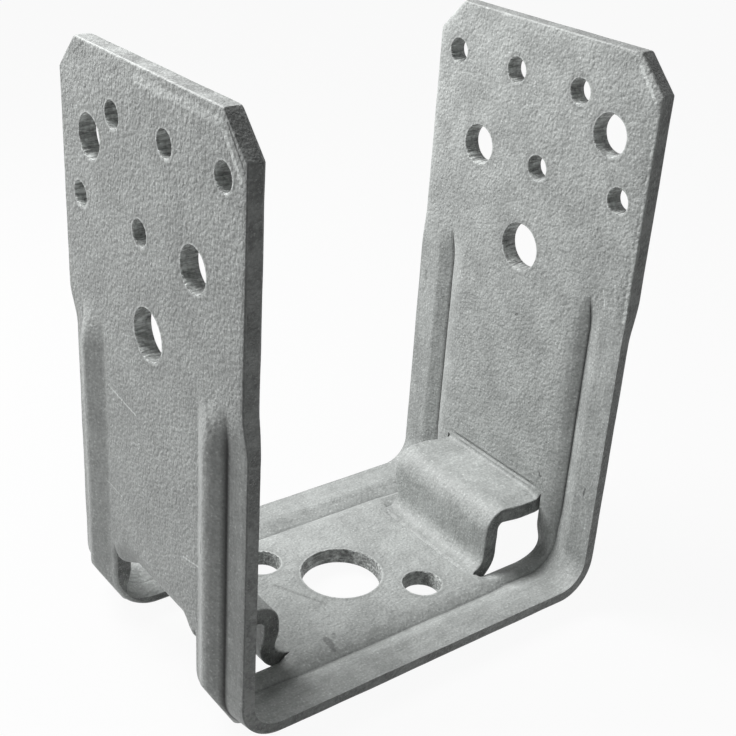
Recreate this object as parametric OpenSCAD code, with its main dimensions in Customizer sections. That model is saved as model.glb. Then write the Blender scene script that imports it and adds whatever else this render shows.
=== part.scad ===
// Post base pressed and folded from one galvanised steel plate.
// Frame: ground at z = 0 under the ribs, +Z up, the uprights stand on the X axis,
// and the origin lies under the middle of the anchor hole.

/* [Plate] */
// Clear width between the uprights, which the post fills
inner_width = 91; // [80:0.5:150]
// Width of the plate, across the post
plate_width = 68; // [60:0.5:110]
// Height of the uprights above the ground
total_height = 130; // [120:1:240]
// Thickness of the plate
plate_thickness = 4; // [3:0.1:5]
// Inner radius of the fold between base and upright
fold_radius = 6.5; // [5.5:0.1:10]
// Length of the chamfer at each top corner of an upright
corner_chamfer = 7.3; // [3:0.1:12]

/* [Ribs] */
// Distance from the plate's long edge to the crest of the rib
rib_inset = 9.7; // [9.2:0.1:12]
// Height of the rib's crest over the outer face
rib_proud = 2.1; // [1:0.1:3]
// Radius of the rib's crest
rib_round = 3; // [2:0.1:3.4]
// Distance from the crest to the crease where the rib starts to rise
rib_rise_run = 5.3; // [4:0.1:7]
// Distance from the crest to the crease beside the edge strip
rib_fall_run = 4; // [3.5:0.1:5]
// Step of the edge strip towards the inside of the base
strip_step = 0.9; // [0.4:0.1:1.4]
// Height of the rib that is left in the middle of the fold, where it is pressed flat
rib_fold_proud = 0.2; // [0.2:0.1:1]
// Depth of the groove behind the rib
groove_depth = 1.6; // [1:0.1:2.2]
// Distance from the crest inwards to the bottom of the groove
groove_inset = 1; // [0:0.1:1.8]
// Distance from the bottom of the groove to where it starts in the flat
groove_run = 4.8; // [3.5:0.1:8]
// Distance from the bottom of the groove to the edge strip
groove_wall_run = 5.3; // [4:0.1:6]
// Height above the ground up to which a rib keeps its full section
rib_height = 68; // [50:1:80]
// Length over which a rib runs out into the flat upright
rib_runout = 10.6; // [6:0.2:16]

/* [Corner steps] */
// Height of a step's seat over the top of the base
step_rise = 15.3; // [12:0.1:25]
// Distance from the upright's inner face to the step's wall
step_reach = 16.1; // [13:0.1:22]
// Outer radius between the step's wall and its seat
step_round = 5.5; // [4.5:0.1:7.5]
// Inner radius where the step's wall rises from the base
step_root_round = 3.3; // [1:0.1:5]
// Inner radius where the step's seat meets the upright
step_seat_round = 0.7; // [0.3:0.1:3]
// Part of the plate's thickness that the sharp bend between seat and upright takes away
seat_thinning = 1.8; // [0:0.1:2]
// Width of the slot between the step and the leg beside it
shear_slot = 0.6; // [0.4:0.1:3]
// Width of the leg beside its rib and groove, up to the slot
leg_margin = 1.2; // [0.6:0.1:3]
// Depth to which the leg's inner edge is drawn down along the slot
leg_edge_drop = 1.2; // [0.4:0.1:2]

/* [Base holes] */
// Diameter of the anchor hole in the middle
anchor_hole = 19; // [12:0.5:22]
// Diameter of the two screw holes beside it
base_screw_hole = 9; // [5:0.1:10]
// Distance of a base screw hole from the middle, towards the upright
base_screw_x = 13.7; // [12:0.1:15]
// Distance of a base screw hole from the middle, along the upright's width
base_screw_y = 13.3; // [12:0.1:16]

/* [Upright holes] */
// Diameter of the nail holes
nail_hole = 5.5; // [3:0.1:6]
// Diameter of the two screw holes in each upright
side_screw_hole = 9; // [6:0.1:11]
// Diameter of the bolt hole that crosses the post
bolt_hole = 11; // [8:0.5:14]
// Spacing of the nail holes along a row
hole_pitch = 19.5; // [16:0.1:20]
// Spacing of the rows, down the upright
row_pitch = 19.5; // [14:0.1:24]
// Distance from the side edge to the outermost nail holes
nail_margin = 7.25; // [6:0.05:10]
// Distance from the top edge to the first row
top_margin = 11.4; // [9:0.1:16]
// Drop of the screw hole that stands between two rows
screw_drop = 6.7; // [4:0.1:10]

/* [Hidden] */
$fn = 64;
zinc = [0.62, 0.64, 0.66];
// Steps in which an arc of an outline is drawn
arc_steps = 10;
// Length by which a cutting body reaches past what it cuts
past = 1;

half_width = plate_width / 2;
inner_face = inner_width / 2;
outer_face = inner_face + plate_thickness;
base_top = rib_proud + plate_thickness;
fold_x = inner_face - fold_radius;
fold_z = base_top + fold_radius;

// Section of the plate: first number across the plate, second number outwards from its inner face
crest = [half_width - rib_inset, plate_thickness + rib_proud - rib_round];
rib_foot = [crest[0] - rib_rise_run, plate_thickness];
strip_foot = [crest[0] + rib_fall_run, plate_thickness - strip_step];
groove = [crest[0] - groove_inset, groove_depth];
groove_top = [groove[0] + groove_wall_run, -strip_step];
// Radius that leads from the flat inner face into the bottom of the groove
groove_round = (groove_run * groove_run + groove_depth * groove_depth) / (2 * groove_depth);
groove_turn = asin(groove_run / groove_round);
leg_edge = crest[0] - max(rib_rise_run, groove_inset + groove_run) - leg_margin;

// Step: its strip is the plate itself, so both faces follow the same centres up to the seat
step_half_width = leg_edge - shear_slot;
step_wall = inner_face - step_reach;
step_top = base_top + step_rise;
step_start = step_wall - step_root_round;
step_end = step_top + step_seat_round;

// Outer radius of the bend between seat and upright, which leaves the thinned plate at 45 degrees
seat_left = plate_thickness - seat_thinning;
seat_back_round = (sqrt(2) * plate_thickness - seat_left) / (sqrt(2) - 1) + step_seat_round;
seat_back = [outer_face - seat_back_round, step_top - plate_thickness + seat_back_round];

runout_top = rib_height + rib_runout;

first_row = total_height - top_margin;
second_row = first_row - row_pitch;
third_row = second_row - row_pitch;
outer_nail = half_width - nail_margin;

function arc(centre, radius, from, to) = [
    for (i = [0 : arc_steps])
        let (angle = from + (to - from) * i / arc_steps)
            centre + radius * [cos(angle), sin(angle)]
];

// Slope of the line that runs from a point up to where it touches a circle
function touch_slope(point, centre, radius) =
    let (run = abs(centre[0] - point[0]), rise = centre[1] - point[1])
        atan2(rise, run) + asin(radius / norm([run, rise]));

// The section's points are drawn with the outward distance along the first axis
function outward_first(points) = [for (p = points) [p[1], p[0]]];

// Outer line of a rib from the edge strip over the crest to the flat face
function rib_outside() = concat(
    [[half_width, strip_foot[1]], strip_foot],
    arc(crest, rib_round,
        90 - touch_slope(strip_foot, crest, rib_round),
        90 + touch_slope(rib_foot, crest, rib_round)),
    [rib_foot]
);

// Inner line from the flat face through the groove to the edge strip
function groove_inside() = concat(
    arc([groove[0] - groove_run, groove_round], groove_round, -90, groove_turn - 90),
    [groove_top, [half_width, -strip_step]]
);

function mirrored(points) = [for (i = [len(points) - 1 : -1 : 0]) [-points[i][0], points[i][1]]];

// Whole plate with a rib along each side
module plate_section() {
    outside = rib_outside();
    inside = groove_inside();
    polygon(outward_first(concat(outside, mirrored(outside), mirrored(inside), inside)));
}

// One leg beside a step: edge strip, rib and groove, and the edge that the slot leaves
module leg_section() {
    polygon(outward_first(concat(
        rib_outside(),
        [[leg_edge, plate_thickness], [leg_edge, leg_edge_drop]],
        groove_inside()
    )));
}

// Everything outside a plane at 30 degrees across the fold, where the rib is pressed flat
module fold_flat_cut() {
    reach = 2 * (fold_radius + base_top);
    translate([fold_x, 0, fold_z])
        rotate([0, 30, 0])
            translate([fold_radius + plate_thickness + rib_fold_proud, 0, -reach])
                cube([reach, half_width + past, 2 * reach]);
}

module corner_leg() {
    difference() {
        union() {
            translate([step_start, 0, base_top])
                rotate([0, 90, 0])
                    linear_extrude(fold_x - step_start)
                        leg_section();
            translate([fold_x, 0, fold_z])
                rotate([-90, 0, 0])
                    rotate_extrude(angle = 90)
                        translate([fold_radius, 0])
                            leg_section();
            translate([inner_face, 0, fold_z])
                linear_extrude(step_end - fold_z)
                    leg_section();
        }
        fold_flat_cut();
    }
}

// Strip between the legs, pushed inwards to carry the post clear of the ground
module corner_step() {
    root = [step_start, base_top + step_root_round];
    bend = [step_wall + step_round, step_top - step_round];
    seat = [inner_face - step_seat_round, step_end];
    upper = concat(
        arc(root, step_root_round, -90, 0),
        arc(bend, step_round, 180, 90),
        arc(seat, step_seat_round, -90, 0),
        [[inner_face, seat_back[1]]]
    );
    lower = concat(
        arc(seat_back, seat_back_round, 0, -90),
        arc(bend, step_round - plate_thickness, 90, 180),
        arc(root, step_root_round + plate_thickness, 0, -90)
    );
    rotate([90, 0, 0])
        linear_extrude(2 * step_half_width, center = true)
            polygon(concat(upper, lower));
}

// Ribbed stretch of an upright, with both faces ramped where the ribs run out
module ribbed_upright() {
    outer_slope = rib_runout / rib_proud;
    inner_slope = rib_runout / strip_step;
    intersection() {
        translate([inner_face, 0, step_end])
            linear_extrude(runout_top - step_end)
                plate_section();
        translate([inner_face, 0, 0])
            rotate([90, 0, 0])
                linear_extrude(plate_width + 2 * past, center = true)
                    polygon([
                        [-strip_step - past, step_end - past],
                        [base_top + past, step_end - past],
                        [base_top + past, rib_height - past * outer_slope],
                        [plate_thickness, runout_top],
                        [0, runout_top],
                        [-strip_step - past, rib_height - past * inner_slope]
                    ]);
    }
}

// Flat stretch of an upright, which tapers down into the ribbed one between groove and edge strip
module flat_upright() {
    translate([inner_face, 0, 0])
        rotate([90, 0, 0])
            linear_extrude(plate_width, center = true)
                polygon([
                    [groove_depth, rib_height],
                    [plate_thickness - strip_step, rib_height],
                    [plate_thickness, runout_top],
                    [plate_thickness, total_height],
                    [0, total_height],
                    [0, runout_top]
                ]);
}

module top_chamfers() {
    side = corner_chamfer * sqrt(2);
    for (y = [-half_width, half_width])
        translate([inner_face - past, y, total_height])
            rotate([45, 0, 0])
                translate([0, -side / 2, -side / 2])
                    cube([plate_thickness + 2 * past, side, side]);
}

module side_hole(y, z, diameter) {
    translate([inner_face - past, y, z])
        rotate([0, 90, 0])
            cylinder(h = plate_thickness + 2 * past, d = diameter);
}

// Each screw hole lies half a pitch from a nail hole
module upright_holes() {
    for (i = [0 : 2])
        side_hole(outer_nail - i * hole_pitch, first_row, nail_hole);
    side_hole(-outer_nail, second_row, nail_hole);
    side_hole(outer_nail - 1.5 * hole_pitch, second_row, nail_hole);
    side_hole(outer_nail - 0.5 * hole_pitch, second_row, side_screw_hole);
    side_hole(outer_nail - 2.5 * hole_pitch, first_row - screw_drop, side_screw_hole);
    side_hole(0, third_row, bolt_hole);
}

// Everything outside the large outer bend that leads from the step's seat into the upright
module seat_back_cut() {
    rotate([90, 0, 0])
        linear_extrude(2 * step_half_width, center = true)
            polygon(concat(
                arc(seat_back, seat_back_round, 0, -90),
                [[outer_face + past, step_top - plate_thickness], [outer_face + past, seat_back[1]]]
            ));
}

module upright() {
    difference() {
        union() {
            ribbed_upright();
            flat_upright();
        }
        top_chamfers();
        upright_holes();
        seat_back_cut();
    }
}

module base() {
    difference() {
        translate([-step_start, 0, base_top])
            rotate([0, 90, 0])
                linear_extrude(2 * step_start)
                    plate_section();
        cylinder(h = base_top + past, d = anchor_hole);
        for (turn = [0, 180])
            rotate([0, 0, turn])
                translate([base_screw_x, -base_screw_y, 0])
                    cylinder(h = base_top + past, d = base_screw_hole);
    }
}

module side() {
    upright();
    corner_step();
    corner_leg();
    mirror([0, 1, 0])
        corner_leg();
}

// The second side is the first one turned round, so its holes change sides too
module post_base() {
    color(zinc) {
        base();
        side();
        rotate([0, 0, 180])
            side();
    }
}

post_base();
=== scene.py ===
"""Post base folded from one galvanised plate: the plate's detailed mesh, its zinc finish and the studio."""
import math

import bmesh
import bpy
import numpy as np
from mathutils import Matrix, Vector, noise


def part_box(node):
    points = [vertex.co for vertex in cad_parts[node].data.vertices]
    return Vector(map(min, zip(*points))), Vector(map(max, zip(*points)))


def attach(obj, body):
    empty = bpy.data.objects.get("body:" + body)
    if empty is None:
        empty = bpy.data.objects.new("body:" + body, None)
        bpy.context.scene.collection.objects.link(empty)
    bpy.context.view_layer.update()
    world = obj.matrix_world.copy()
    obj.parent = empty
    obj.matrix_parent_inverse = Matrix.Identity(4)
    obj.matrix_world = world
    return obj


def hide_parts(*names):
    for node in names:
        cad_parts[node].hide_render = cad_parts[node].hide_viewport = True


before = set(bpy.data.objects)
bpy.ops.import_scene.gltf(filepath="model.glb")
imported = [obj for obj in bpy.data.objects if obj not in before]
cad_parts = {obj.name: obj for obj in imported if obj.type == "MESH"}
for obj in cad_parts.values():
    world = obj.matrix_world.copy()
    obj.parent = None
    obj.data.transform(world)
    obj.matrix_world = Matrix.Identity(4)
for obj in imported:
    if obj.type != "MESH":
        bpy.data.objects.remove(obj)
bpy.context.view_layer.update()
MM = 0.001

# Plate, in millimetres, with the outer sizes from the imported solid
low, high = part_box("post_base")
PLATE = 4.0
RIB_PROUD = 2.1
TOTAL_HEIGHT = round(high.z / MM, 1)
HALF_WIDTH = round(high.y / MM, 1)
BASE_TOP = PLATE + RIB_PROUD
INNER_FACE = round(high.x / MM, 1) - BASE_TOP
FOLD_RADIUS = 6.5
FOLD_X = INNER_FACE - FOLD_RADIUS
FOLD_Z = BASE_TOP + FOLD_RADIUS
CHAMFER = 7.3
EDGE_ROUND = 0.45

# Rib, edge strip and groove across the plate
CREST_Y = HALF_WIDTH - 9.7
RIB_ROUND = 3.0
FOOT_Y = CREST_Y - 5.3
STRIP_Y = CREST_Y + 4.0
STRIP_FOOT = PLATE - 0.5
STRIP_EDGE = PLATE - 1.2
VALLEY_Y = CREST_Y - 1.0
GROOVE_DEPTH = 1.6
GROOVE_RUN = 4.8
WALL_TOP = (VALLEY_Y + 5.3, -0.55)
INNER_EDGE = -1.15
RIB_HEIGHT = 68.0
RIB_RUNOUT = 10.6

# Corner step, and the slits that free it from the legs
STEP_WALL = INNER_FACE - 16.1
STEP_TOP = BASE_TOP + 15.3
STEP_ROUND = 5.5
ROOT_ROUND = 3.3
SEAT_ROUND = 0.7
STEP_START = STEP_WALL - ROOT_ROUND
STEP_END = STEP_TOP + SEAT_ROUND
STEP_HALF = 16.7
SLIT_Y = 17.3
CUT_ROUND = 0.35
DRAWN_ROUND = 1.3
SEAT_BACK_ROUND = 9.05
FOLD_FLAT = FOLD_RADIUS + PLATE + 0.05

# Holes: place across and up, and diameter
ANCHOR_HOLE = 19.0
BASE_SCREW = (13.7, -13.3, 9.0)
PITCH = 19.5
OUTER_NAIL = HALF_WIDTH - 7.25
FIRST_ROW = TOTAL_HEIGHT - 11.4
SECOND_ROW = FIRST_ROW - PITCH
THIRD_ROW = SECOND_ROW - PITCH
UPRIGHT_HOLES = [
    (OUTER_NAIL, FIRST_ROW, 5.5),
    (OUTER_NAIL - PITCH, FIRST_ROW, 5.5),
    (OUTER_NAIL - 2 * PITCH, FIRST_ROW, 5.5),
    (OUTER_NAIL - 1.5 * PITCH, SECOND_ROW, 5.5),
    (-OUTER_NAIL, SECOND_ROW, 5.5),
    (OUTER_NAIL - 0.5 * PITCH, SECOND_ROW, 9.0),
    (OUTER_NAIL - 2.5 * PITCH, FIRST_ROW - 6.7, 9.0),
    (0.0, THIRD_ROW, 11.0),
]

# Punched holes: rounding at both faces, how much narrower they are outside, and the sides of the cutter
HOLE_FLARE = 0.22
HOLE_TAPER = 0.2
HOLE_SIDES = 64

# Wear of the step: pressed line beside its creases with a lip, far edge's bulge and near edge's droop
PRESSED_DEPTH = 0.5
PRESSED_REACH = 0.55
LIP_HEIGHT = 0.12
EDGE_BULGE = 1.5
EDGE_DROOP = 0.85
EDGE_BACK_ROUND = 4.7

# Mesh: spacing along the plate and across it, nodes on each side of the valley, and the angle kept sharp
ROW_STEP = 1.6
ACROSS_STEP = 1.6
INBOARD_NODES = 20
OUTBOARD_NODES = 16
SHARP_ANGLE = 38

# Finish: tones of the coat and of cut, torn and bored faces, specular level, grain size and bump in mm
ZINC_TONE = 0.47
ZINC_SHINE = 0.25
ZINC_GRAIN = 0.8
ZINC_BUMP = 0.26
CUT_TONE = 0.34
TORN_TONE = 0.26
BORE_TONE = 0.5

# Studio, in metres and watts: the softbox, the world's strength on the object, the floor's glow and colour
LAMP_PLACE = (-0.12, 0.20, 0.33)
LAMP_SIZE = (0.20, 0.20)
LAMP_AIM = (0.0, 0.0, 0.06)
LAMP_POWER = 1.85
ROOM_LIGHT = 0.1
FLOOR_WHITE = 0.94
FLOOR_TONE = 0.6
FLOOR_REACH = 4

# Camera, fitted to hole centres, outlines and fold lines: place in mm, turn in degrees, lens and film in mm
CAMERA_PLACE = (-150.23, -193.65, 184.20)
CAMERA_TURN = (63.132, -3.457, -36.757)
CAMERA_LENS = 62.183
FILM_WIDTH = 36.0


def smooth(value):
    """Smooth ramp from 0 to 1."""
    t = np.clip(value, 0.0, 1.0)
    return t * t * (3 - 2 * t)


def refined(points, step):
    """Polyline with points added so that no stretch is longer than step."""
    out = [points[0]]
    for a, b in zip(points[:-1], points[1:]):
        parts = max(1, math.ceil(math.dist(a, b) / step))
        for k in range(1, parts + 1):
            out.append(tuple(np.array(a) + (np.array(b) - np.array(a)) * k / parts))
    return out


def filled(points, count):
    """Polyline whose longest stretches are halved until it has count points."""
    out = list(points)
    while len(out) < count:
        k = max(range(len(out) - 1), key=lambda i: math.dist(out[i], out[i + 1]))
        out.insert(k + 1, tuple((np.array(out[k]) + np.array(out[k + 1])) / 2))
    return out


def rounded(points, radii, parts=4):
    """Polyline whose inner corners are turned into small curves. radii gives each inner corner's reach."""
    out = [points[0]]
    for k, reach in enumerate(radii, start=1):
        before, corner, after = (np.array(points[k + i], float) for i in (-1, 0, 1))
        if not reach:
            out.append(tuple(corner))
            continue
        reach_in = min(reach, 0.45 * np.linalg.norm(corner - before))
        reach_out = min(reach, 0.45 * np.linalg.norm(after - corner))
        start = corner + (before - corner) / np.linalg.norm(before - corner) * reach_in
        end = corner + (after - corner) / np.linalg.norm(after - corner) * reach_out
        for t in np.linspace(0, 1, parts + 1):
            out.append(tuple((1 - t) ** 2 * start + 2 * t * (1 - t) * corner + t * t * end))
    out.append(points[-1])
    return out


def arc(centre, radius, start, end, parts):
    """Points on an arc, with its angles in degrees."""
    turn = np.radians(np.linspace(start, end, parts + 1))
    return [(centre[0] + radius * math.cos(a), centre[1] + radius * math.sin(a)) for a in turn]


def touch_slope(point, centre, radius):
    """Slope in degrees of the line from a point up to where it touches a circle."""
    run, rise = abs(centre[0] - point[0]), centre[1] - point[1]
    return math.degrees(math.atan2(rise, run) + math.asin(radius / math.hypot(run, rise)))


def edge_curve(y_end, w_end, turn):
    """Rounded long edge, from the face towards the plate's middle. turn is -1 outside and 1 inside."""
    angles = np.radians([22, 45, 68, 90])
    return [
        (y_end - EDGE_ROUND * (1 - math.sin(a)), w_end + turn * EDGE_ROUND * (1 - math.cos(a)))
        for a in angles
    ]


class Face:
    """Nodes of one face of a leg, from the slit's line to the long edge, with the rib and without it."""

    def __init__(self, inboard, outboard, flat_w, turn):
        inboard = filled(refined(inboard, ACROSS_STEP), INBOARD_NODES)
        curve = edge_curve(HALF_WIDTH, outboard[-1][1], turn)
        outboard = filled(refined(outboard, ACROSS_STEP)[1:], OUTBOARD_NODES) + curve
        self.rib = np.array(inboard + outboard)
        depth = np.zeros(len(self.rib))
        depth[-len(curve):] = [p[1] - outboard[-len(curve) - 1][1] for p in curve]
        self.flat = np.stack([self.rib[:, 0], flat_w + depth], axis=1)

    def at(self, fade):
        """Nodes where the rib has the share fade of its height."""
        return self.flat + fade * (self.rib - self.flat)


def outer_face():
    crest = (CREST_Y, BASE_TOP - RIB_ROUND)
    foot = (FOOT_Y, PLATE)
    strip = (STRIP_Y, STRIP_FOOT)
    rise = touch_slope(foot, crest, RIB_ROUND)
    fall = touch_slope(strip, crest, RIB_ROUND)
    top = arc(crest, RIB_ROUND, 90 + rise, 90, 5)
    start = [(SLIT_Y + reach, PLATE) for reach in (0, 0.12, 0.4)]
    inboard = start + rounded([(SLIT_Y + 0.8, PLATE), foot, top[0]], [0.9]) + top[1:]
    edge = (HALF_WIDTH - EDGE_ROUND, STRIP_EDGE)
    down = arc(crest, RIB_ROUND, 90, 90 - fall, 4)
    outboard = down[:1] + rounded(down[1:] + [strip, edge], [0] * 3 + [0.22])
    return Face(inboard, outboard, PLATE, -1)


def inner_face():
    radius = (GROOVE_RUN ** 2 + GROOVE_DEPTH ** 2) / (2 * GROOVE_DEPTH)
    turn = math.degrees(math.asin(GROOVE_RUN / radius))
    start = (VALLEY_Y - GROOVE_RUN, radius)
    near_slit = [(SLIT_Y + reach, 0.0) for reach in (0, 0.12, 0.4, 0.8)]
    flat_part = near_slit + arc(start, radius, -90, turn - 90, 8)
    edge = (HALF_WIDTH - EDGE_ROUND, INNER_EDGE)
    line = rounded(flat_part[-2:] + [WALL_TOP, edge], [0.2, 1.0])
    return Face(flat_part[:-1] + line[1:4], line[3:], 0.0, 1)


def spread(start, end, step):
    """Evenly spaced values from start to end, without the end."""
    return list(np.linspace(start, end, max(1, math.ceil(abs(end - start) / step)) + 1)[:-1])


def leg_rows():
    """Rows of a leg from the middle of the base to the upright's top: x, z, outward x, outward z."""
    base = spread(0, STEP_START - 2.4, ROW_STEP) + spread(STEP_START - 2.4, STEP_START, 0.3)
    corner = [(x, BASE_TOP, 0, -1) for x in spread(STEP_START, FOLD_X, 0.9)]
    for turn in np.radians(spread(0, 90, 5.0)):
        out = (math.sin(turn), -math.cos(turn))
        corner.append((FOLD_X + FOLD_RADIUS * out[0], FOLD_Z + FOLD_RADIUS * out[1], *out))
    corner += [(INNER_FACE, z, 1, 0) for z in spread(FOLD_Z, STEP_END, 0.9)]
    above = spread(STEP_END, STEP_END + 3, 0.3) + spread(STEP_END + 3, RIB_HEIGHT - 4, ROW_STEP)
    above += spread(RIB_HEIGHT - 4, RIB_HEIGHT + RIB_RUNOUT + 2, 0.7)
    above += spread(RIB_HEIGHT + RIB_RUNOUT + 2, TOTAL_HEIGHT - CHAMFER - 0.4, ROW_STEP)
    above += spread(TOTAL_HEIGHT - CHAMFER - 0.4, TOTAL_HEIGHT - CHAMFER + 0.4, 0.2)
    above += spread(TOTAL_HEIGHT - CHAMFER + 0.4, TOTAL_HEIGHT - EDGE_ROUND, 1.0)
    above += [TOTAL_HEIGHT - EDGE_ROUND * (1 - math.sin(math.radians(a))) for a in (0, 22, 45, 68, 90)]
    rows = [(x, BASE_TOP, 0, -1) for x in base] + corner + [(INNER_FACE, z, 1, 0) for z in above]
    return np.array(rows), len(base), len(base) + len(corner)


def step_rows(count):
    """Rows of a step's strip between the two ends of its shear lines, as many as the leg beside it has."""
    root = (STEP_START, BASE_TOP + ROOT_ROUND)
    bend = (STEP_WALL + STEP_ROUND, STEP_TOP - STEP_ROUND)
    seat = (INNER_FACE - SEAT_ROUND, STEP_END)
    angles = np.linspace(0, math.pi / 2, 60)
    turns = [(math.sin(a), math.cos(a)) for a in angles]
    path = [(root[0] + ROOT_ROUND * si, root[1] - ROOT_ROUND * co, si, -co) for si, co in turns]
    path += [(bend[0] - STEP_ROUND * co, bend[1] + STEP_ROUND * si, co, -si) for si, co in turns]
    path += [(seat[0] + SEAT_ROUND * si, seat[1] - SEAT_ROUND * co, si, -co) for si, co in turns]
    path = np.array(path)
    travel = np.linalg.norm(np.diff(path[:, :2], axis=0), axis=1)
    turn = np.linalg.norm(np.diff(path[:, 2:], axis=0), axis=1)
    effort = np.concatenate([[0], np.cumsum(travel + 4.0 * turn)])
    wanted = np.linspace(0, effort[-1], count)
    rows = np.stack([np.interp(wanted, effort, path[:, k]) for k in range(4)], axis=1)
    rows[:, 2:] /= np.linalg.norm(rows[:, 2:], axis=1)[:, None]
    return rows


def placed(row, nodes):
    """3-D points of the section's nodes (across, outward) at a row."""
    x, z, out_x, out_z = row
    return np.stack([x + nodes[:, 1] * out_x, nodes[:, 0], z + nodes[:, 1] * out_z], axis=1)


def half_width_at(row):
    """Half of the plate's width, which the chamfer narrows at the top."""
    return HALF_WIDTH - max(0.0, row[1] - (TOTAL_HEIGHT - CHAMFER))


def narrowed(nodes, width):
    """Nodes moved inwards so that the outermost one reaches width."""
    hold = HALF_WIDTH - 2.2 * CHAMFER
    y = nodes[:, 0]
    share = np.clip((np.abs(y) - hold) / (HALF_WIDTH - hold), 0, 1)
    return np.stack([y - np.sign(y) * share * (HALF_WIDTH - width), nodes[:, 1]], axis=1)


class Sheet:
    """Mesh gathered from strips of points that share their borders."""

    def __init__(self):
        self.points = []
        self.lines = []
        self.faces = []
        self.materials = []

    def grid(self, rows, material, lines=None):
        """Quads between rows of points. lines gives each point's painted shade, strongest on a sharp crease
        or edge line.
        """
        rows = np.asarray(rows)
        self.lines.extend(np.zeros(rows.shape[:2]).ravel() if lines is None else np.ravel(lines))
        first = len(self.points)
        count = rows.shape[1]
        self.points.extend(map(tuple, rows.reshape(-1, 3)))
        for i in range(rows.shape[0] - 1):
            for j in range(count - 1):
                a = first + i * count + j
                self.faces.append((a, a + 1, a + count + 1, a + count))
                self.materials.append(material)

    def copied(self, signs):
        """The same strips again, with the coordinates turned to the other side where signs is -1."""
        first = len(self.points)
        self.points += [tuple(c * sign for c, sign in zip(p, signs)) for p in self.points]
        self.faces += [tuple(first + k for k in reversed(f)) for f in self.faces]
        self.materials += self.materials
        self.lines += self.lines

    def mesh(self, name):
        """Blender mesh in metres, with the shared borders joined and the faces a little uneven."""
        data = bpy.data.meshes.new(name)
        data.from_pydata([tuple(c * MM for c in p) for p in self.points], [], self.faces)
        data.polygons.foreach_set("material_index", self.materials)
        # Painted shade along creases and edges, kept as a point attribute that darkens the coat.
        data.attributes.new("painted_crease_shade", "FLOAT", "POINT").data.foreach_set("value", self.lines)
        work = bmesh.new()
        work.from_mesh(data)
        bmesh.ops.remove_doubles(work, verts=work.verts, dist=1e-7)
        bmesh.ops.recalc_face_normals(work, faces=work.faces)
        work.normal_update()
        for point in work.verts:
            place = point.co / MM
            sunk = 0.08 + 0.08 * noise.noise(place / 11.0) + 0.02 * noise.noise(place / 3.0)
            point.co -= point.normal * sunk * MM
        for f in work.faces:
            f.smooth = True
        work.to_mesh(data)
        work.free()
        return data


# Material numbers on the mesh, and the rows of faces across a cut wall
ZINC, SHEARED, BORE, TORN = range(4)
WALL_PARTS = 4


def wall(start, end):
    """Rows of points across a cut face, from the outer face's edge to the inner face's."""
    shares = np.linspace(0, 1, WALL_PARTS + 1)[None, :, None]
    return start[:, None, :] * (1 - shares) + end[:, None, :] * shares


def crease_groove(distance):
    """Depth of the pressed line and its lip beside a step's creases, by the distance from the line."""
    line = PRESSED_DEPTH * np.clip(1 - np.abs(distance) / PRESSED_REACH, 0, 1)
    lip = LIP_HEIGHT * np.clip(1 - abs(distance - 0.9) / 0.5, 0, 1)
    return line - lip


def roughness_of_cut(points, strength):
    """Uneven depth of a torn edge, by the place of its points."""
    depths = []
    for p in points:
        broad = noise.noise(Vector(p) * 0.6)
        small = noise.noise(Vector(p) * 2.3)
        depths.append(strength * (0.5 * broad + 0.7 * small))
    return depths


class LegShape:
    """How far each row of a leg has left the plain section: slit open, bend pressed, rib fading out."""

    def __init__(self, rows, first, last):
        self.rows = rows
        heights = rows[:, 1]
        upright = rows[:, 2] > 0.999
        in_corner = np.zeros(len(rows), bool)
        in_corner[first:last + 1] = True
        steps = np.concatenate([[0], np.cumsum(np.linalg.norm(np.diff(rows[:, :2], axis=0), axis=1))])
        travelled = steps - steps[first]
        remaining = steps[last] - steps
        self.in_corner = in_corner
        self.upright = upright
        self.fade = np.where(upright, 1 - smooth((heights - RIB_HEIGHT) / RIB_RUNOUT), 1.0)
        self.opened = np.where(in_corner, smooth(travelled / 1.5) * smooth(remaining / 1.5), 0.0)
        lean = np.degrees(np.arctan2(rows[:, 2], -rows[:, 3]))
        self.bend = np.exp(-((lean - 52) / 26) ** 2)
        drawn = in_corner * smooth(travelled / 3.0) * (1 - smooth((heights - 9.5) / 5.0))
        self.drawn = drawn * (1 - 0.5 * smooth((heights - 8.0) / 4.5))
        self.eased = np.where(in_corner, smooth(travelled / 6) * smooth(remaining / 9), 0.0)
        from_end = np.clip((heights - (TOTAL_HEIGHT - EDGE_ROUND)) / EDGE_ROUND, 0, 1)
        self.end_depth = np.where(upright, EDGE_ROUND * (1 - np.sqrt(1 - from_end ** 2)), 0.0)

    def drawn_edge(self, k, y):
        """Depth of the leg's inner face beside the slit, where the shear has drawn it down."""
        reach = y - SLIT_Y
        face = 1.15 + 1.05 * self.bend[k] - (0.15 + 0.05 * self.bend[k]) * reach
        lip = 0.5 * np.clip(1 - reach / 1.35, 0, 1)
        return self.drawn[k] * np.maximum(face + lip, 0.0)

    def pressed_flat(self, points, k):
        """Outer points with the rib pressed flat where the plate folds."""
        out_x, out_z = self.rows[k][2:]
        lean = math.radians(30)
        ahead = (points[:, 0] - FOLD_X) * math.cos(lean) - (points[:, 2] - FOLD_Z) * math.sin(lean)
        over = ahead - FOLD_FLAT
        soft = 0.35
        over = np.where(over > soft, over, np.where(over < -soft, 0.0, (over + soft) ** 2 / (4 * soft)))
        facing = out_x * math.cos(lean) - out_z * math.sin(lean)
        if facing < 0.3:
            return points
        moved = points.copy()
        moved[:, 0] -= out_x * over / facing
        moved[:, 2] -= out_z * over / facing
        return moved


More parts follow.
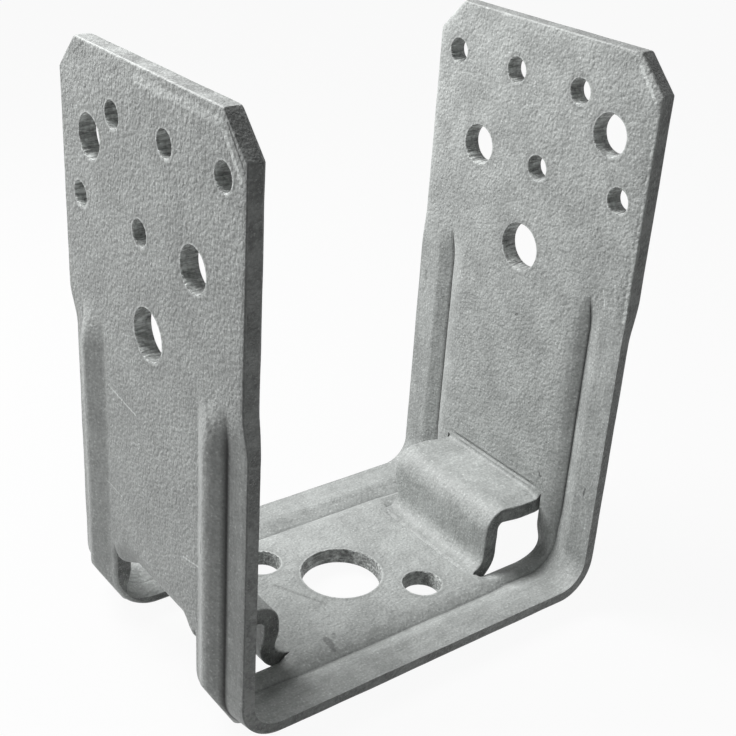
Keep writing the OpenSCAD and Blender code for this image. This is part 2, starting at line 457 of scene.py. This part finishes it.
def leg_grids(shape):
    """Points of both faces of a leg, row by row, and the painted shade of each point along dark crease and
    edge lines.
    """
    outer, inner = outer_face(), inner_face()
    leg_out, leg_in, shade_lines_out, shade_lines_in = [], [], [], []
    for k, row in enumerate(shape.rows):
        width = half_width_at(row)
        nodes = outer.at(shape.fade[k])
        # Painted shade: dark lines at the strip's foot and along the long edge of the outer face.
        foot_shade_line = np.clip(1.3 - np.abs(nodes[:, 0] - STRIP_Y) / 0.35, 0, 1) * shape.fade[k]
        edge_shade_line = 0.6 * np.clip(1 - np.abs(nodes[:, 0] - HALF_WIDTH + 0.2) / 0.35, 0, 1)
        shade_lines_out.append(np.maximum(foot_shade_line, edge_shade_line))
        reach = np.clip(DRAWN_ROUND - (nodes[:, 0] - SLIT_Y), 0, DRAWN_ROUND)
        round_off = DRAWN_ROUND - np.sqrt(DRAWN_ROUND ** 2 - reach ** 2 * 0.999)
        nodes[:, 1] -= shape.end_depth[k] + shape.opened[k] * round_off * (0.55 + 0.45 * shape.bend[k])
        leg_out.append(shape.pressed_flat(placed(row, narrowed(nodes, width)), k))
        nodes = inner.at(shape.fade[k])
        # Painted shade along the groove's valley, fading with the rib and weaker low down.
        seen = smooth(shape.fade[k] * 2) * (0.45 + 0.55 * smooth((row[1] - 8) / 20))
        shade_lines_in.append(np.clip(1 - np.abs(nodes[:, 0] - VALLEY_Y) / 0.4, 0, 1) * seen)
        near_valley = np.clip(1 - np.abs(nodes[:, 0] - VALLEY_Y) / 4.5, 0, 1)
        pull = 0.5 * shape.eased[k]
        drawn = shape.drawn_edge(k, nodes[:, 0])
        nodes[:, 1] = np.maximum(nodes[:, 1], drawn * (nodes[:, 0] < VALLEY_Y))
        nodes[:, 0] -= near_valley * pull
        drawn_long = np.clip((nodes[:, 0] - (HALF_WIDTH - 2.5)) / 2.5, 0, 1)
        nodes[:, 1] += shape.end_depth[k] + 0.45 * drawn_long ** 2 * (1 - shape.fade[k])
        leg_in.append(placed(row, narrowed(nodes, width)))
    return np.array(leg_out), np.array(leg_in), shade_lines_out, shade_lines_in


def on_seat_back(points, row, radii):
    """Outer points of the strip brought onto the large bend between the seat and the upright."""
    out_x, out_z = row[2], row[3]
    centre_x = INNER_FACE + PLATE - radii
    centre_z = STEP_TOP - PLATE + radii
    away_x = points[:, 0] - centre_x
    away_z = points[:, 2] - centre_z
    beyond = (away_x > 0) & (away_z < 0) & (np.hypot(away_x, away_z) > radii)
    toward = away_x * out_x + away_z * out_z
    spare = toward ** 2 - (away_x ** 2 + away_z ** 2 - radii ** 2)
    depth = np.where(beyond & (spare > 0), toward - np.sqrt(np.maximum(spare, 0)), 0.0)
    moved = points.copy()
    moved[:, 0] -= out_x * depth
    moved[:, 2] -= out_z * depth
    return moved


def strip_grids(shape, first, last):
    """Points of both faces of the strip between the legs, with the corner step pressed into it."""
    strip = step_rows(last - first + 1)
    middle = refined([(0.0, 0.0), (SLIT_Y - 0.9, 0.0)], ACROSS_STEP)
    across = [p[0] for p in middle] + [SLIT_Y - 0.35, SLIT_Y - 0.1, SLIT_Y]
    across = np.array([-y for y in across[:0:-1]] + across)
    edge_share = np.zeros(len(across))
    edge_share[[0, -1]] = 1.0
    edge_share[[1, -2]] = 0.3
    wider = SEAT_BACK_ROUND - EDGE_BACK_ROUND
    radii = EDGE_BACK_ROUND + wider * smooth((SLIT_Y - 0.5 - np.abs(across)) / 6.0)
    strip_out, strip_in = [], []
    for k, leg_row in enumerate(shape.rows):
        row = strip[k - first] if shape.in_corner[k] else leg_row
        opened = shape.opened[k]
        y = across * (1 + (STEP_HALF / SLIT_Y - 1) * opened)
        pressed = np.zeros(len(y))
        if not shape.upright[k] and row[0] < STEP_START:
            pressed = crease_groove(row[0] - (STEP_START - 0.9))
        if shape.upright[k] and row[1] > STEP_END:
            pressed = crease_groove(row[1] - (STEP_END + 0.9))
        pressed = pressed * smooth((STEP_HALF - 1.5 - np.abs(y)) / 1.0)
        depth = edge_share * CUT_ROUND * opened + shape.end_depth[k]
        outside = placed(row, np.stack([y, PLATE - depth], axis=1))
        inside = placed(row, np.stack([y, depth + pressed], axis=1))
        if row[0] > STEP_WALL + STEP_ROUND and row[1] < STEP_END + SEAT_BACK_ROUND:
            outside = on_seat_back(outside, row, radii)
        if shape.in_corner[k]:
            for points in (outside, inside):
                far = smooth((points[:, 1] - 10) / 6.0)
                bulge = smooth((row[1] - 8) / 6.0) * (1 - smooth((row[0] - 38) / 6.0))
                points[:, 1] += EDGE_BULGE * far * bulge
                droop = smooth((-12.5 - points[:, 1]) / 4.0) * smooth((row[0] - 33) / 8.0)
                points[:, 2] -= EDGE_DROOP * droop * opened
            for points, strength in ((outside, 0.35), (inside, 0.15)):
                ends = [0, -1]
                torn = np.array(roughness_of_cut(points[ends], strength)) * opened
                points[ends, 0] += torn * row[2]
                points[ends, 2] += torn * row[3]
                points[ends, 1] += np.array(roughness_of_cut(points[ends] + 40.0, 0.3)) * opened
        strip_out.append(outside)
        strip_in.append(inside)
    return np.array(strip_out), np.array(strip_in)


def plate_mesh():
    """The whole plate without its holes. The second half is the first one turned round."""
    rows, first, last = leg_rows()
    shape = LegShape(rows, first, last)
    leg_out, leg_in, shade_lines_out, shade_lines_in = leg_grids(shape)
    strip_out, strip_in = strip_grids(shape, first, last)
    corner = slice(first, last + 1)
    half = Sheet()
    half.grid(leg_out, ZINC, shade_lines_out)
    half.grid(leg_in, ZINC, shade_lines_in)
    half.grid(wall(leg_out[:, -1], leg_in[:, -1]), SHEARED)
    half.grid(wall(leg_out[corner, 0], leg_in[corner, 0]), TORN)
    half.grid(wall(leg_out[-1], leg_in[-1]), SHEARED)
    half.copied((1, -1, 1))
    for end in (0, -1):
        half.grid(wall(strip_out[corner, end], strip_in[corner, end]), TORN)
    half.grid(strip_out, ZINC)
    half.grid(strip_in, ZINC)
    half.grid(wall(strip_out[-1], strip_in[-1]), SHEARED)
    half.copied((-1, -1, 1))
    return half.mesh("post_base_plate")


def hole_profile(radius):
    """Half profile of what a punched hole takes away, narrower outside and flared at both faces."""
    steps = np.radians(np.linspace(0, 90, 4))
    line = [(radius + HOLE_FLARE * (1 - math.sin(a)), HOLE_FLARE * (1 - math.cos(a)) + 0.1) for a in steps]
    back = [(r - HOLE_TAPER, PLATE - w) for r, w in reversed(line)]
    past = 1.2
    first = (radius + HOLE_FLARE, -past)
    last = (radius + HOLE_FLARE - HOLE_TAPER, PLATE + past)
    return [first] + line + back + [last]


def hole_cutter(name, holes):
    """One mesh of all holes, each by its centre on the inner face, the outward direction and its radius."""
    work = bmesh.new()
    for centre, outward, radius in holes:
        turn = Vector((0, 0, 1)).rotation_difference(Vector(outward)).to_matrix()
        rings = []
        for r, w in hole_profile(radius):
            ring = []
            for k in range(HOLE_SIDES):
                a = 2 * math.pi * k / HOLE_SIDES
                point = turn @ Vector((r * math.cos(a), r * math.sin(a), w)) + Vector(centre)
                ring.append(work.verts.new(point * MM))
            rings.append(ring)
        for lower, upper in zip(rings[:-1], rings[1:]):
            for k in range(HOLE_SIDES):
                m = (k + 1) % HOLE_SIDES
                work.faces.new((lower[k], lower[m], upper[m], upper[k]))
        work.faces.new(list(reversed(rings[0])))
        work.faces.new(rings[-1])
    bmesh.ops.recalc_face_normals(work, faces=work.faces)
    data = bpy.data.meshes.new(name)
    for f in work.faces:
        f.material_index = BORE
        f.smooth = True
    work.to_mesh(data)
    work.free()
    return data


def all_holes():
    """Every hole of both uprights and the base."""
    holes = [((0, 0, BASE_TOP), (0, 0, -1), ANCHOR_HOLE / 2)]
    for side in (1, -1):
        x, y, diameter = BASE_SCREW
        holes.append(((side * x, side * y, BASE_TOP), (0, 0, -1), diameter / 2))
        for y, z, diameter in UPRIGHT_HOLES:
            holes.append(((side * INNER_FACE, side * y, z), (side, 0, 0), diameter / 2))
    return holes


def add_object(name, data):
    piece = bpy.data.objects.new(name, data)
    bpy.context.scene.collection.objects.link(piece)
    return piece


def node(tree, kind, inputs=None, **settings):
    """New node with its settings. An input is a plain value, or a socket that is joined to it."""
    new = tree.nodes.new(kind)
    for name, value in settings.items():
        setattr(new, name, value)
    for key, value in (inputs or {}).items():
        if isinstance(value, bpy.types.NodeSocket):
            tree.links.new(value, new.inputs[key])
        else:
            new.inputs[key].default_value = value
    return new


def maths(tree, operation, *values, clamp=False):
    inputs = dict(enumerate(values))
    return node(tree, "ShaderNodeMath", inputs, operation=operation, use_clamp=clamp).outputs[0]


def vectors(tree, operation, *values):
    new = node(tree, "ShaderNodeVectorMath", dict(enumerate(values)), operation=operation)
    return new.outputs["Value" if operation in ("LENGTH", "DISTANCE", "DOT_PRODUCT") else "Vector"]


def ramp(tree, value, start, end, first=0.0, last=1.0):
    """Smooth change from first to last while value goes from start to end."""
    limits = {"Value": value, "From Min": start, "From Max": end, "To Min": first, "To Max": last}
    return node(tree, "ShaderNodeMapRange", limits, interpolation_type="SMOOTHSTEP").outputs["Result"]


def place_in_mm(tree, stretch=(1.0, 1.0, 1.0)):
    """Place on the part in millimetres, divided by stretch along each axis."""
    coordinates = node(tree, "ShaderNodeTexCoord").outputs["Object"]
    return vectors(tree, "MULTIPLY", coordinates, [1000.0 / s for s in stretch])


def speckle(tree, place, scale, detail=2.0, rough=0.5):
    inputs = {"Vector": place, "Scale": scale, "Detail": detail, "Roughness": rough}
    return node(tree, "ShaderNodeTexNoise", inputs).outputs["Fac"]


def new_group(name, inputs, outputs):
    """Shader group with its own sockets: its tree, the sockets inside for its inputs, and its end node."""
    tree = bpy.data.node_groups.new(name, "ShaderNodeTree")
    for label, kind, default in inputs:
        tree.interface.new_socket(label, in_out="INPUT", socket_type=kind).default_value = default
    for label in outputs:
        tree.interface.new_socket(label, in_out="OUTPUT", socket_type="NodeSocketFloat")
    return tree, tree.nodes.new("NodeGroupInput").outputs, tree.nodes.new("NodeGroupOutput").inputs


def join(tree, source, target):
    tree.links.new(source, target)


def pebbled_skin():
    """Orange-peel surface of the zinc coat: Height for the bump, Fleck for the tone of single grains and
    for their painted glints.
    """
    inputs = [("Grain Size", "NodeSocketFloat", 1.0)]
    tree, given, result = new_group("pebbled_skin", inputs, ["Height", "Fleck"])
    place = place_in_mm(tree)
    fineness = maths(tree, "DIVIDE", 1.0, given["Grain Size"])
    cells = node(tree, "ShaderNodeTexVoronoi", {"Vector": place, "Scale": fineness})
    rolling = speckle(tree, place, maths(tree, "MULTIPLY", fineness, 0.8), 2.0, 0.6)
    dome = maths(tree, "SUBTRACT", 1.0, cells.outputs["Distance"])
    join(tree, maths(tree, "ADD", maths(tree, "MULTIPLY", dome, 0.5), rolling), result["Height"])
    join(tree, speckle(tree, place, maths(tree, "MULTIPLY", fineness, 1.6), 1.0), result["Fleck"])
    return tree


def cloudy_coat():
    """Broad patches in which the zinc has set darker or lighter."""
    tree, given, result = new_group("cloudy_coat", [("Patch Size", "NodeSocketFloat", 9.0)], ["Mottle"])
    place = place_in_mm(tree)
    fineness = maths(tree, "DIVIDE", 1.0, given["Patch Size"])
    broad = speckle(tree, place, fineness, 2.0, 0.55)
    small = speckle(tree, place, maths(tree, "MULTIPLY", fineness, 4.0), 2.0, 0.6)
    both = maths(tree, "ADD", maths(tree, "MULTIPLY", broad, 0.65), maths(tree, "MULTIPLY", small, 0.35))
    join(tree, ramp(tree, both, 0.32, 0.68), result["Mottle"])
    return tree


def drawn_streaks():
    """Fine lines along the plate's bends, where the die has smoothed it."""
    tree, given, result = new_group("drawn_streaks", [("Width", "NodeSocketFloat", 0.6)], ["Streak"])
    place = place_in_mm(tree, (16.0, 1.0, 16.0))
    fineness = maths(tree, "DIVIDE", 1.0, given["Width"])
    join(tree, ramp(tree, speckle(tree, place, fineness, 3.0, 0.6), 0.3, 0.7), result["Streak"])
    return tree


def hole_rims():
    """Distance in millimetres from the edge of the nearest hole."""
    tree, _, result = new_group("hole_rims", [], ["Distance"])
    parts = node(tree, "ShaderNodeSeparateXYZ", {0: place_in_mm(tree)}).outputs
    side = maths(tree, "SIGN", parts["X"])
    across = maths(tree, "MULTIPLY", parts["Y"], side)
    on_upright = node(tree, "ShaderNodeCombineXYZ", {"Y": across, "Z": parts["Z"]}).outputs[0]
    along_base = maths(tree, "MULTIPLY", parts["X"], side)
    on_base = node(tree, "ShaderNodeCombineXYZ", {"X": along_base, "Y": across}).outputs[0]
    distances = []
    for y, z, diameter in UPRIGHT_HOLES:
        away = vectors(tree, "DISTANCE", on_upright, (0.0, y, z))
        distances.append(maths(tree, "SUBTRACT", away, diameter / 2))
    low_place = maths(tree, "MULTIPLY", maths(tree, "GREATER_THAN", parts["Z"], 12.0), 100.0)
    for x, y, diameter in ((0.0, 0.0, ANCHOR_HOLE), BASE_SCREW):
        away = vectors(tree, "DISTANCE", on_base, (x, y, 0.0))
        distances.append(maths(tree, "ADD", maths(tree, "SUBTRACT", away, diameter / 2), low_place))
    nearest = distances[0]
    for distance in distances[1:]:
        nearest = maths(tree, "MINIMUM", nearest, distance)
    join(tree, nearest, result["Distance"])
    return tree


def mark_and_highlight_line():
    """Short line or smudge between two places, ragged along its sides."""
    inputs = [("Start", "NodeSocketVector", (0, 0, 0)), ("End", "NodeSocketVector", (0, 0, 1)),
              ("Width", "NodeSocketFloat", 0.5), ("Ragged", "NodeSocketFloat", 1.0)]
    tree, given, result = new_group("mark_and_highlight_line", inputs, ["Mask"])
    place = place_in_mm(tree)
    way = vectors(tree, "SUBTRACT", given["End"], given["Start"])
    reach = vectors(tree, "SUBTRACT", place, given["Start"])
    passed = vectors(tree, "DOT_PRODUCT", reach, way)
    whole = vectors(tree, "DOT_PRODUCT", way, way)
    share = maths(tree, "DIVIDE", passed, whole, clamp=True)
    spread_way = node(tree, "ShaderNodeCombineXYZ", {"X": share, "Y": share, "Z": share}).outputs[0]
    nearest = vectors(tree, "MULTIPLY", way, spread_way)
    away = vectors(tree, "LENGTH", vectors(tree, "SUBTRACT", reach, nearest))
    limit = maths(tree, "MULTIPLY", given["Width"], given["Ragged"])
    fade = maths(tree, "DIVIDE", away, maths(tree, "ADD", limit, 0.001))
    join(tree, ramp(tree, fade, 0.5, 1.0, 1.0, 0.0), result["Mask"])
    return tree


# Marks on the plate, and a painted highlight along the near right edge, in millimetres: start, end, width
# and strength of each
BRIGHT_MARKS_AND_EDGE_HIGHLIGHT = [
    ((-49.5, 17.4, 61.1), (-49.5, 5.8, 59.7), 0.35, 0.8),
    ((-49.5, 19.6, 37.2), (-49.5, 12.7, 36.7), 0.3, 0.7),
    ((-49.5, -13.1, 37.1), (-49.5, -18.9, 38.3), 0.35, 0.8),
    ((-49.5, 2.9, 127.4), (-49.5, -25.5, 127.6), 1.5, 0.5),
    ((-49.5, -27.0, 126.0), (-49.5, -32.0, 119.5), 0.8, 0.7),
    ((45.5, -26.8, 78.9), (45.5, -27.8, 75.1), 0.25, 0.6),
    ((45.5, -29.5, 82.0), (45.5, -30.5, 77.0), 0.22, 0.5),
    # Painted highlight: bright band along the near right edge's burr.
    ((45.9, -33.4, 119.0), (45.9, -33.4, 94.0), 0.6, 0.7),
    ((45.9, -33.2, 93.0), (45.9, -33.4, 74.0), 0.7, 0.8),
    ((45.6, -27.6, 127.2), (45.6, -32.4, 121.4), 0.6, 0.7),
]
DARK_MARKS = [
    ((-17.0, -18.0, 6.1), (-17.2, -22.4, 6.1), 1.5, 0.5),
    ((-14.6, -17.6, 6.1), (-15.2, -18.4, 6.1), 0.9, 0.35),
    ((-15.9, 4.2, 6.1), (-9.9, -7.5, 6.1), 0.6, 0.3),
    ((-49.5, 16.9, 126.5), (-49.5, 16.8, 121.0), 0.3, 0.45),
    ((-49.5, 11.8, 124.6), (-49.5, 11.9, 122.3), 0.3, 0.45),
    ((-51.0, -22.3, 46.2), (-51.0, -22.6, 44.6), 0.8, 0.7),
    ((-50.0, -21.4, 76.8), (-51.0, -25.0, 72.0), 1.2, 0.45),
    ((-50.0, -26.5, 77.5), (-51.0, -27.5, 71.0), 0.8, 0.45),
    ((-49.5, -27.9, 127.8), (-49.5, -32.6, 121.9), 0.4, 0.8),
    ((-49.5, 27.1, 126.6), (-49.5, 23.1, 129.4), 0.35, 0.6),
    ((45.5, -16.3, 26.5), (45.5, -15.6, 27.6), 0.5, 0.7),
    ((45.5, -2.0, 63.5), (45.5, -1.6, 63.2), 0.5, 0.7),
    ((32.3, 2.2, 21.4), (32.9, 2.6, 21.4), 0.6, 0.6),
    ((45.5, -30.4, 30.7), (45.5, -30.2, 29.0), 0.45, 0.7),
    ((45.5, 31.5, 62.0), (45.5, 31.5, 60.0), 0.9, 0.45),
]


def marks_in(tree, mark, rows):
    """Strongest of the placed marks at each point."""
    strongest = 0.0
    ragged = maths(tree, "MULTIPLY", speckle(tree, place_in_mm(tree), 1.1, 3.0, 0.65), 1.6)
    for start, end, width, strength in rows:
        placed_mark = node(tree, "ShaderNodeGroup", node_tree=mark)
        placed_mark.inputs["Start"].default_value = start
        placed_mark.inputs["End"].default_value = end
        placed_mark.inputs["Width"].default_value = width
        join(tree, ragged, placed_mark.inputs["Ragged"])
        seen = maths(tree, "MULTIPLY", placed_mark.outputs["Mask"], strength)
        strongest = maths(tree, "MAXIMUM", strongest, seen)
    return strongest


def grey(tree, tone):
    """Zinc's nearly neutral grey, a little green, from a tone that changes over the surface."""
    red = maths(tree, "MULTIPLY", tone, 0.965)
    blue = maths(tree, "MULTIPLY", tone, 0.98)
    return node(tree, "ShaderNodeCombineColor", {"Red": red, "Green": tone, "Blue": blue}).outputs[0]


def use(tree, group, **inputs):
    """Outputs of a group placed in a tree, with its own values."""
    placed_group = node(tree, "ShaderNodeGroup", node_tree=group)
    for label, value in inputs.items():
        placed_group.inputs[label.replace("_", " ").title()].default_value = value
    return placed_group.outputs


def varied(tree, tone, value, amount):
    """Tone made darker or lighter by a value around one half."""
    change = maths(tree, "MULTIPLY_ADD", value, amount, 1 - amount / 2)
    return maths(tree, "MULTIPLY", tone, change)


def blended(tree, first, second, share):
    change = maths(tree, "SUBTRACT", second, first)
    return maths(tree, "MULTIPLY_ADD", change, share, first)


def finish(tree, tone, rough, height, depth):
    """Principled shader of a material: tone, roughness and bump come from nodes."""
    shader = tree.nodes["Principled BSDF"]
    join(tree, grey(tree, tone), shader.inputs["Base Color"])
    join(tree, rough, shader.inputs["Roughness"])
    shader.inputs["Specular IOR Level"].default_value = ZINC_SHINE
    bump = node(tree, "ShaderNodeBump", {"Height": height, "Distance": depth * MM, "Strength": 1.0})
    join(tree, bump.outputs["Normal"], shader.inputs["Normal"])


def new_material(name):
    material = bpy.data.materials.new(name)
    material.use_nodes = True
    return material, material.node_tree


def galvanised_zinc(groups):
    material, tree = new_material("galvanised_zinc")
    formed = node(tree, "ShaderNodeAttribute", attribute_name="formed").outputs["Fac"]
    skin = use(tree, groups["skin"], grain_size=ZINC_GRAIN)
    mottle = use(tree, groups["coat"], patch_size=9.0)["Mottle"]
    streak = use(tree, groups["streaks"], width=0.6)["Streak"]
    distance = use(tree, groups["rims"])["Distance"]
    # Painted highlight: a thin bright rim round each hole.
    rim_highlight = ramp(tree, distance, 0.1, 0.5, 1.0, 0.0)
    ring = maths(tree, "MULTIPLY", ramp(tree, distance, 0.4, 0.7), ramp(tree, distance, 0.8, 1.5, 1.0, 0.0))
    smoothed = blended(tree, 0.5, streak, formed)
    tone = varied(tree, ZINC_TONE, mottle, 0.28)
    tone = varied(tree, tone, skin["Fleck"], 0.7)
    # Painted glints: the brightest grains lifted towards a pale tone.
    tone = blended(tree, tone, 0.9, ramp(tree, skin["Fleck"], 0.66, 0.74, 0.0, 0.4))
    tone = varied(tree, tone, smoothed, 0.12)
    # Painted shade: the coat darkened along creases and edges.
    crease = node(tree, "ShaderNodeAttribute", attribute_name="painted_crease_shade").outputs["Fac"]
    tone = blended(tree, tone, 0.05, maths(tree, "MULTIPLY", crease, 1.1, clamp=True))
    tone = blended(tree, tone, 0.3, maths(tree, "MULTIPLY", ring, 0.35))
    # Painted highlight at the hole rims.
    tone = blended(tree, tone, 0.75, maths(tree, "MULTIPLY", rim_highlight, 0.7))
    tone = blended(tree, tone, 0.1, marks_in(tree, groups["mark"], DARK_MARKS))
    # Bright marks, and the painted highlight along the near right edge.
    tone = blended(tree, tone, 0.85, marks_in(tree, groups["mark"], BRIGHT_MARKS_AND_EDGE_HIGHLIGHT))
    rough = maths(tree, "MULTIPLY_ADD", mottle, 0.12, 0.42)
    pebbles = maths(tree, "MULTIPLY", skin["Height"], maths(tree, "MULTIPLY_ADD", formed, -0.4, 1.0))
    drawn = maths(tree, "MULTIPLY", streak, formed)
    lines = maths(tree, "MULTIPLY", drawn, 0.1)
    finish(tree, tone, rough, maths(tree, "ADD", pebbles, lines), ZINC_BUMP)
    return material


def cut_zinc(groups, name, cut_tone):
    material, tree = new_material(name)
    skin = use(tree, groups["skin"], grain_size=0.55)
    mottle = use(tree, groups["coat"], patch_size=4.0)["Mottle"]
    # Painted glints: bright flecks on the cut and torn faces.
    painted_glint = ramp(tree, skin["Fleck"], 0.6, 0.72)
    tone = varied(tree, cut_tone, mottle, 0.7)
    tone = blended(tree, tone, 0.6, maths(tree, "MULTIPLY", painted_glint, 0.6))
    rough = maths(tree, "MULTIPLY_ADD", mottle, 0.15, 0.4)
    finish(tree, tone, rough, skin["Height"], 0.22)
    return material


def bored_zinc(groups):
    material, tree = new_material("bored_zinc")
    skin = use(tree, groups["skin"], grain_size=0.6)
    mottle = use(tree, groups["coat"], patch_size=2.5)["Mottle"]
    line = ramp(tree, speckle(tree, place_in_mm(tree, (5.0, 0.6, 0.6)), 1.0, 3.0, 0.6), 0.35, 0.65)
    tone = varied(tree, varied(tree, BORE_TONE, mottle, 0.8), line, 0.8)
    rough = maths(tree, "MULTIPLY_ADD", mottle, 0.2, 0.25)
    lines = maths(tree, "MULTIPLY", line, 1.2)
    pebbles = maths(tree, "MULTIPLY", skin["Height"], 0.5)
    height = maths(tree, "ADD", lines, pebbles)
    finish(tree, tone, rough, height, 0.15)
    return material


def formed_share(points):
    """How strongly the die has drawn the plate at each point: ribs, folds and corner steps."""
    x, y, z = np.abs(points[:, 0]), np.abs(points[:, 1]), points[:, 2]
    fade = np.where(x > FOLD_X, 1 - smooth((z - RIB_HEIGHT) / RIB_RUNOUT), 1.0)
    ribs = smooth((y - 17.6) / 1.5) * fade
    step = smooth((x - 25.0) / 2.0) * smooth((25.5 - z) / 2.5) * smooth((z - 4.0) / 3.0)
    return np.maximum(ribs, step)


def build_plate():
    data = plate_mesh()
    plate = add_object("post_base_plate", data)
    groups = {"skin": pebbled_skin(), "coat": cloudy_coat(), "streaks": drawn_streaks(),
              "rims": hole_rims(), "mark": mark_and_highlight_line()}
    finishes = [galvanised_zinc(groups), cut_zinc(groups, "sheared_zinc", CUT_TONE),
                bored_zinc(groups), cut_zinc(groups, "torn_zinc", TORN_TONE)]
    for material in finishes:
        data.materials.append(material)
    cutter_data = hole_cutter("hole_cutter", all_holes())
    for material in data.materials:
        cutter_data.materials.append(material)
    cutter = add_object("hole_cutter", cutter_data)
    cut = plate.modifiers.new("holes", "BOOLEAN")
    cut.operation = "DIFFERENCE"
    cut.solver = "EXACT"
    cut.object = cutter
    bpy.context.view_layer.update()
    graph = bpy.context.evaluated_depsgraph_get()
    cut_mesh = bpy.data.meshes.new_from_object(plate.evaluated_get(graph))
    plate.modifiers.clear()
    plate.data = cut_mesh
    bpy.data.objects.remove(cutter)
    cut_mesh.set_sharp_from_angle(angle=math.radians(SHARP_ANGLE))
    points = np.empty(3 * len(cut_mesh.vertices))
    cut_mesh.vertices.foreach_get("co", points)
    formed = cut_mesh.attributes.new("formed", "FLOAT", "POINT")
    formed.data.foreach_set("value", formed_share(points.reshape(-1, 3) / MM))
    return plate


def seen_directly(tree):
    """1 for rays from the camera and for rays that a glossy or clear surface sends on, else 0."""
    path = node(tree, "ShaderNodeLightPath").outputs
    mirrored = maths(tree, "MAXIMUM", path["Is Glossy Ray"], path["Is Transmission Ray"])
    return maths(tree, "MAXIMUM", path["Is Camera Ray"], mirrored)


def build_studio():
    scene = bpy.context.scene
    scene.view_settings.view_transform = "Standard"
    floor_data = bpy.data.meshes.new("floor")
    corners = [(a * FLOOR_REACH, b * FLOOR_REACH, 0) for a, b in ((-1, -1), (1, -1), (1, 1), (-1, 1))]
    floor_data.from_pydata(corners, [], [(0, 1, 2, 3)])
    floor = add_object("floor", floor_data)
    material, tree = new_material("studio_floor")
    shader = tree.nodes["Principled BSDF"]
    shader.inputs["Base Color"].default_value = (FLOOR_TONE, FLOOR_TONE, FLOOR_TONE, 1)
    shader.inputs["Roughness"].default_value = 0.9
    glow = node(tree, "ShaderNodeEmission", {"Color": (1, 1, 1, 1), "Strength": 1.0})
    share = maths(tree, "MULTIPLY", seen_directly(tree), FLOOR_WHITE)
    both = node(tree, "ShaderNodeMixShader", {0: share, 1: shader.outputs[0], 2: glow.outputs[0]})
    join(tree, both.outputs[0], tree.nodes["Material Output"].inputs["Surface"])
    floor.data.materials.append(material)
    world = bpy.data.worlds.new("studio")
    scene.world = world
    world.use_nodes = True
    tree = world.node_tree
    strength = maths(tree, "MULTIPLY_ADD", seen_directly(tree), 1 - ROOM_LIGHT, ROOM_LIGHT)
    tree.nodes["Background"].inputs["Color"].default_value = (1, 1, 1, 1)
    join(tree, strength, tree.nodes["Background"].inputs["Strength"])
    lamp_data = bpy.data.lights.new("softbox", "AREA")
    lamp_data.shape = "RECTANGLE"
    lamp_data.size, lamp_data.size_y = LAMP_SIZE
    lamp_data.energy = LAMP_POWER
    lamp = bpy.data.objects.new("softbox", lamp_data)
    lamp.location = LAMP_PLACE
    aim = Vector(LAMP_AIM) - Vector(LAMP_PLACE)
    lamp.rotation_euler = aim.to_track_quat("-Z", "Y").to_euler()
    lamp.visible_camera = False
    scene.collection.objects.link(lamp)


def build_camera():
    camera_data = bpy.data.cameras.new("photo_camera")
    camera_data.sensor_width = FILM_WIDTH
    camera_data.lens = CAMERA_LENS
    camera_data.clip_start = 0.01
    camera = bpy.data.objects.new("photo_camera", camera_data)
    camera.location = Vector(CAMERA_PLACE) * MM
    camera.rotation_euler = [math.radians(a) for a in CAMERA_TURN]
    bpy.context.scene.collection.objects.link(camera)
    bpy.context.scene.camera = camera


plate = build_plate()
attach(plate, "root")
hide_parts("post_base")
build_studio()
build_camera()
